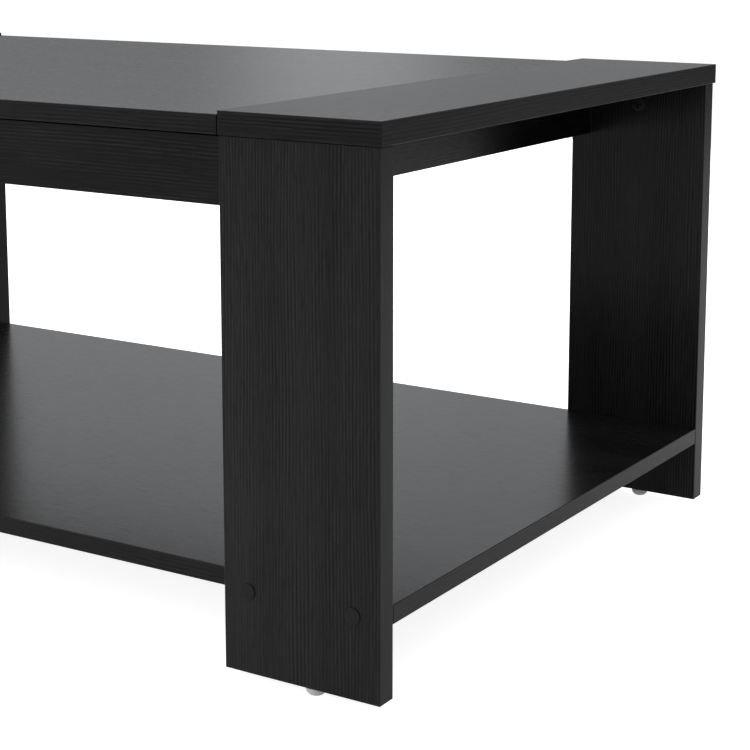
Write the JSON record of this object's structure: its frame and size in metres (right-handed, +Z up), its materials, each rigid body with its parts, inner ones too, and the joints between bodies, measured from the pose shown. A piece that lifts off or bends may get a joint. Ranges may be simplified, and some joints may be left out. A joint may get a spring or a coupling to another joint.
{
  "type": "lift top coffee table",
  "caption": "Rectangular coffee table on slab legs with end caps, a lower shelf and a centre top that lifts up and forward over a shallow storage box.",
  "frame": {"origin": "on the floor, under the middle of the table", "axes": "+X along the table's length, +Y to the back (the lift top moves towards -Y), +Z up"},
  "size_m": [1.06, 0.6, 0.433],
  "materials": {
    "black_board": "black-brown wood-grain laminate on board, satin, with matching edge band",
    "box_floor_board": "thin black hardboard, matt",
    "cover_plastic": "black-brown plastic screw cover, satin",
    "glide_plastic": "light grey hard plastic, smooth",
    "bumper_rubber": "black soft rubber, matt",
    "plated_steel": "zinc plated steel, semi-bright",
    "black_steel": "black coated steel, satin, fine texture",
    "spring_steel": "zinc plated spring wire"
  },
  "bodies": {
    "frame": {"lower_shelf": "black_board", "front_apron": "black_board", "back_apron": "black_board", "box_floor": "box_floor_board", "end_cap_left": "black_board", "side_apron_left": "black_board", "base_bracket_left": "black_steel", "front_base_pin_left": "plated_steel", "rear_base_pin_left": "plated_steel", "lift_spring_left": "spring_steel", "leg_front_left": "black_board", "glide_front_left": "glide_plastic", "cam_front_left": "black_steel", "bumper_front_left": "bumper_rubber", "shelf_screw_front_left_1": "plated_steel", "screw_cover_front_left_1": "cover_plastic", "shelf_screw_front_left_2": "plated_steel", "screw_cover_front_left_2": "cover_plastic", "leg_back_left": "black_board", "glide_back_left": "glide_plastic", "cam_back_left": "black_steel", "bumper_back_left": "bumper_rubber", "shelf_screw_back_left_1": "plated_steel", "screw_cover_back_left_1": "cover_plastic", "shelf_screw_back_left_2": "plated_steel", "screw_cover_back_left_2": "cover_plastic", "end_cap_right": "black_board", "side_apron_right": "black_board", "base_bracket_right": "black_steel", "front_base_pin_right": "plated_steel", "rear_base_pin_right": "plated_steel", "lift_spring_right": "spring_steel", "leg_front_right": "black_board", "glide_front_right": "glide_plastic", "cam_front_right": "black_steel", "bumper_front_right": "bumper_rubber", "shelf_screw_front_right_1": "plated_steel", "screw_cover_front_right_1": "cover_plastic", "shelf_screw_front_right_2": "plated_steel", "screw_cover_front_right_2": "cover_plastic", "leg_back_right": "black_board", "glide_back_right": "glide_plastic", "cam_back_right": "black_steel", "bumper_back_right": "bumper_rubber", "shelf_screw_back_right_1": "plated_steel", "screw_cover_back_right_1": "cover_plastic", "shelf_screw_back_right_2": "plated_steel", "screw_cover_back_right_2": "cover_plastic"},
    "rear_link_left": {"rear_arm_left": "black_steel"},
    "front_link_left": {"front_arm_left": "black_steel"},
    "rear_link_right": {"rear_arm_right": "black_steel"},
    "front_link_right": {"front_arm_right": "black_steel"},
    "top": {"lift_top": "black_board", "top_bracket_left": "black_steel", "front_top_pin_left": "plated_steel", "rear_top_pin_left": "plated_steel", "top_bracket_right": "black_steel", "front_top_pin_right": "plated_steel", "rear_top_pin_right": "plated_steel"}
  },
  "joints": [
    {"name": "lift", "type": "hinge", "parent": "frame", "child": "rear_link_right", "pos_m": [0.37125, -0.084, 0.388], "axis": [1, 0, 0], "range_deg": [0, 116], "deforming": ["lift_spring_right"]},
    {"name": "top_level", "type": "hinge", "parent": "rear_link_right", "child": "top", "pos_m": [0.37125, 0.11551, 0.40195], "axis": [1, 0, 0], "range_deg": [-116, 0]},
    {"name": "front_link_right_turn", "type": "hinge", "parent": "frame", "child": "front_link_right", "pos_m": [0.36075, -0.214, 0.388], "axis": [1, 0, 0], "range_deg": [0, 116]},
    {"name": "rear_link_left_turn", "type": "hinge", "parent": "frame", "child": "rear_link_left", "pos_m": [-0.37125, -0.084, 0.388], "axis": [1, 0, 0], "range_deg": [0, 116], "deforming": ["lift_spring_left"]},
    {"name": "front_link_left_turn", "type": "hinge", "parent": "frame", "child": "front_link_left", "pos_m": [-0.36075, -0.214, 0.388], "axis": [1, 0, 0], "range_deg": [0, 116]}
  ],
  "couplings": [
    {"joint": "top_level", "follows": "lift", "ratio": -1},
    {"joint": "front_link_right_turn", "follows": "lift", "ratio": 1},
    {"joint": "rear_link_left_turn", "follows": "lift", "ratio": 1},
    {"joint": "front_link_left_turn", "follows": "lift", "ratio": 1}
  ]
}
